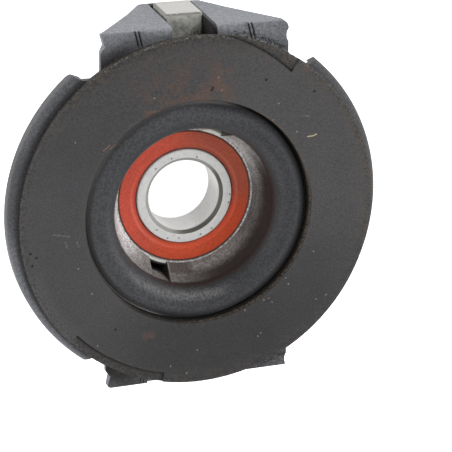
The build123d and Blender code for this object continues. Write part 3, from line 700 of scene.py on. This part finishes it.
def seal_finish():
    """Orange-red rubber, with painted light on the left and painted shade on the right, brighter at the low
    side, with dark edges.
    """
    f = Finish("seal_rubber")
    cloud = f.noise(5.0, detail=3.0)
    grain = f.noise(0.5, detail=4.0, rough=0.7, shift=3.0)
    colour = f.colour(RUBBER_DARK).toward(RUBBER_LIGHT, cloud.step(0.3, 0.7))
    # Painted light on the left side and painted shade on the right side.
    colour = colour.toward(RUBBER_LIT_LEFT, f.sector(170.0, 40.0, 40.0) * 0.6)
    colour = colour.toward(RUBBER_SHADED_RIGHT, f.sector(25.0, 40.0, 40.0) * 0.85)
    colour = colour.toward(RUBBER_LOW, f.sector(295.0, 35.0, 40.0) * 0.9)
    colour = colour.shaded(0.87 + 0.26 * grain.step(0.38, 0.62))
    colour = colour.toward(RUBBER_DIRT, f.spots(1.1, 0.17, shift=2.0, keep=0.4) * 0.7)
    rims = f.radius.step(SEAL_RADIUS - 0.45, SEAL_RADIUS - 0.05)
    rims = rims.at_least(f.radius.step(INNER_RING_RADIUS + 0.65, INNER_RING_RADIUS + 0.15))
    colour = colour.toward(RUBBER_EDGE, rims * 0.85)
    return f.surface(colour, 0.48 + 0.1 * grain, relief=grain, depth=0.05, specular=0.35)


def mottled_finish(name, dark, light, rough, metallic):
    """A plain finish of two close shades, for small steel pieces, fibres and crumbs."""
    f = Finish(name)
    mottle = f.noise(0.9, detail=3.0)
    colour = f.colour(dark).toward(light, mottle.step(0.3, 0.7))
    return f.surface(colour, rough + 0.1 * mottle, metallic=metallic, relief=mottle, depth=0.03)


FINISHES = {
    "friction_lining": lining_finish(),
    "drum_paint": drum_finish(),
    "cast_yoke": yoke_finish(),
    "drive_block_steel": block_finish(),
    "bearing_steel": bearing_finish(),
    "seal_rubber": seal_finish(),
    "rivet_steel": mottled_finish("rivet_steel", (0.24, 0.24, 0.25), (0.36, 0.36, 0.37), 0.45, 0.6),
    "ball_steel": mottled_finish("ball_steel", (0.72, 0.72, 0.73), (0.80, 0.80, 0.81), 0.12, 1.0),
    "cage_steel": mottled_finish("cage_steel", (0.42, 0.41, 0.38), (0.54, 0.53, 0.50), 0.35, 0.9),
    "spring_steel": mottled_finish("spring_steel", (0.055, 0.055, 0.06), (0.085, 0.085, 0.09), 0.4, 0.4),
}


def dress_nodes():
    """Give each CAD node the finish of its material slot."""
    for part in frame["record"]["subparts"]:
        node = frame["nodes"][part["node"]]
        node.data.materials.clear()
        node.data.materials.append(FINISHES[part["material_slot"]])


def add_piece(name, points, faces, finish, host):
    """A mesh piece in millimetres, with one finish, that rides with a CAD node."""
    mesh = bpy.data.meshes.new(name)
    mesh.from_pydata([[value / MM for value in point] for point in points], [], faces)
    mesh.materials.append(finish)
    piece = bpy.data.objects.new(name, mesh)
    bpy.context.scene.collection.objects.link(piece)
    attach(piece, body_of(frame["nodes"][host])[0])


def add_lining_fringe():
    """Short torn fibres along the top of the lining's outer edge, thickest at the upper side."""
    chance = random.Random(FIBRE_SEED)
    points, faces = [], []
    for _ in range(FIBRES):
        angle = chance.gauss(90.0, 45.0) if chance.random() < 0.5 else chance.uniform(0.0, 360.0)
        angle %= 360.0
        stepped = any(low - 0.5 < angle < high + 0.5 for low, high in STEP_ANGLES)
        top = FACE_HEIGHT - (STEP_DEPTH + 0.15 if stepped else 0.16)
        level = top - chance.random() ** 2 * 1.6
        wall = LINING_RADIUS - LINING_DRAFT * (FACE_HEIGHT - level) - 0.12
        tip = wall + 0.14 + chance.random() ** 2 * 0.55
        half, thick = chance.uniform(0.10, 0.30), chance.uniform(0.04, 0.10)
        drift = chance.uniform(-0.35, 0.35)
        start = len(points)
        turn = math.radians(angle)
        for out, side, up in ((wall, -half, -thick), (wall, half, -thick), (wall, half, thick),
                              (wall, -half, thick), (tip, drift, chance.uniform(-0.15, 0.05))):
            points.append((out * math.cos(turn) - side * math.sin(turn),
                           out * math.sin(turn) + side * math.cos(turn), level + up))
        faces += [[start + point for point in face]
                  for face in ((3, 2, 1, 0), (0, 1, 4), (1, 2, 4), (2, 3, 4), (3, 0, 4))]
    finish = mottled_finish("lining_fibre", (0.050, 0.045, 0.038), (0.17, 0.155, 0.13), 0.8, 0.0)
    add_piece("lining_fringe", points, faces, finish, "friction_lining")


def add_lug_crumbs():
    """Small dark crumbs of dust and grease on the upper lug's front, along the lining's edge."""
    chance = random.Random(CRUMB_SEED)
    points, faces = [], []
    while len(points) < 6 * CRUMBS:
        x, y = chance.uniform(-32.0, 32.0), chance.uniform(52.0, 60.8)
        past = math.hypot(x - SOOT_AND_SHADE_MIDDLE[0], y - SOOT_AND_SHADE_MIDDLE[1]) - LINING_RADIUS
        if not 0.0 < past < 3.2 * chance.random() or -24.0 < x < 12.0 or math.hypot(x, y) < RIM_RADIUS - 3.0:
            continue
        start = len(points)
        size, height, turn = chance.uniform(0.10, 0.34), chance.uniform(0.06, 0.22), chance.uniform(0.0, 6.28)
        for side in range(4):
            reach = size * chance.uniform(0.6, 1.2)
            heading = turn + side * math.pi / 2
            points.append((x + reach * math.cos(heading), y + reach * math.sin(heading), YOKE_FRONT - 0.02))
        points.append((x, y, YOKE_FRONT + height))
        points.append((x, y, YOKE_FRONT - 0.05))
        for side in range(4):
            after = (side + 1) % 4
            faces += [[start + side, start + after, start + 4], [start + after, start + side, start + 5]]
    finish = mottled_finish("crumbs", (0.010, 0.009, 0.008), (0.030, 0.026, 0.022), 0.7, 0.0)
    add_piece("lug_crumbs", points, faces, finish, "claw_yoke")


def place_camera():
    """The photograph's own viewpoint: down on the friction face, from beyond the upper lug."""
    azimuth = math.radians(VIEW_AZIMUTH)
    elevation = math.radians(VIEW_ELEVATION)
    back = Vector((math.sin(azimuth) * math.cos(elevation), -math.cos(azimuth) * math.cos(elevation),
                   math.sin(elevation)))
    turn = (-back).to_track_quat("-Z", "Y") @ Quaternion((0, 0, 1), math.radians(VIEW_ROLL))
    right = turn @ Vector((1, 0, 0))
    up = turn @ Vector((0, 1, 0))
    aim = Vector((0, 0, FACE_HEIGHT)) + right * AIM_RIGHT + up * AIM_UP
    data = bpy.data.cameras.new("camera")
    data.lens = LENS
    data.sensor_width = SENSOR
    camera = bpy.data.objects.new("camera", data)
    camera.rotation_mode = "QUATERNION"
    camera.rotation_quaternion = turn
    camera.location = (aim + back * VIEW_DISTANCE) / MM
    bpy.context.scene.collection.objects.link(camera)
    bpy.context.scene.camera = camera


def pale_to_the_eye(tree, lit, mirrored):
    """A strength of 1 for the camera, and for mirrorings if so set, and another for its light."""
    rays = tree.nodes.new("ShaderNodeLightPath")
    seen = tree.nodes.new("ShaderNodeMath")
    seen.operation = "MAXIMUM"
    tree.links.new(rays.outputs["Is Camera Ray"], seen.inputs[0])
    if mirrored:
        tree.links.new(rays.outputs["Is Glossy Ray"], seen.inputs[1])
    else:
        seen.inputs[1].default_value = 0.0
    strength = tree.nodes.new("ShaderNodeMapRange")
    strength.inputs["To Min"].default_value = lit
    strength.inputs["To Max"].default_value = 1.0
    tree.links.new(seen.outputs[0], strength.inputs["Value"])
    return strength.outputs["Result"]


def set_world():
    """A white surround that lights the part softly."""
    world = bpy.data.worlds.new("surround")
    world.use_nodes = True
    bpy.context.scene.world = world
    tree = world.node_tree
    sky = tree.nodes["Background"]
    sky.inputs["Color"].default_value = (1.0, 1.0, 1.0, 1.0)
    tree.links.new(pale_to_the_eye(tree, SURROUND_LIGHT, False), sky.inputs["Strength"])


def lay_floor():
    """A plain white floor just under the lugs' feet, wide enough for every view."""
    mesh = bpy.data.meshes.new("floor")
    ends = (-FLOOR_HALF, FLOOR_HALF)
    mesh.from_pydata([(x, y, FLOOR_HEIGHT) for y in ends for x in ends], [], [(0, 1, 3, 2)])
    floor = bpy.data.objects.new("floor", mesh)
    bpy.context.scene.collection.objects.link(floor)
    material = bpy.data.materials.new("floor")
    material.use_nodes = True
    tree = material.node_tree
    shader = tree.nodes["Principled BSDF"]
    shader.inputs["Base Color"].default_value = (0.80, 0.80, 0.80, 1.0)
    shader.inputs["Roughness"].default_value = 0.9
    shader.inputs["Specular IOR Level"].default_value = 0.0
    shader.inputs["Emission Color"].default_value = (1.0, 1.0, 1.0, 1.0)
    tree.links.new(pale_to_the_eye(tree, FLOOR_LIGHT, True), shader.inputs["Emission Strength"])
    mesh.materials.append(material)


def place_lamp(name, azimuth, elevation, size, watts):
    """A square soft lamp that looks at the part from a direction."""
    turn, rise = math.radians(azimuth), math.radians(elevation)
    data = bpy.data.lights.new(name, "AREA")
    data.size = size
    data.energy = watts
    lamp = bpy.data.objects.new(name, data)
    lamp.location = LAMP_DISTANCE * Vector((math.cos(turn) * math.cos(rise), math.sin(turn) * math.cos(rise),
                                            math.sin(rise)))
    lamp.rotation_mode = "QUATERNION"
    lamp.rotation_quaternion = lamp.location.to_track_quat("Z", "Y")
    bpy.context.scene.collection.objects.link(lamp)


def light_scene():
    """Soft studio light from both sides, as in the photograph."""
    for name, lamp in LAMPS.items():
        place_lamp(name, *lamp)
    bpy.context.scene.view_settings.view_transform = "Standard"


dress_nodes()
add_lining_fringe()
add_lug_crumbs()
place_camera()
set_world()
lay_floor()
light_scene()
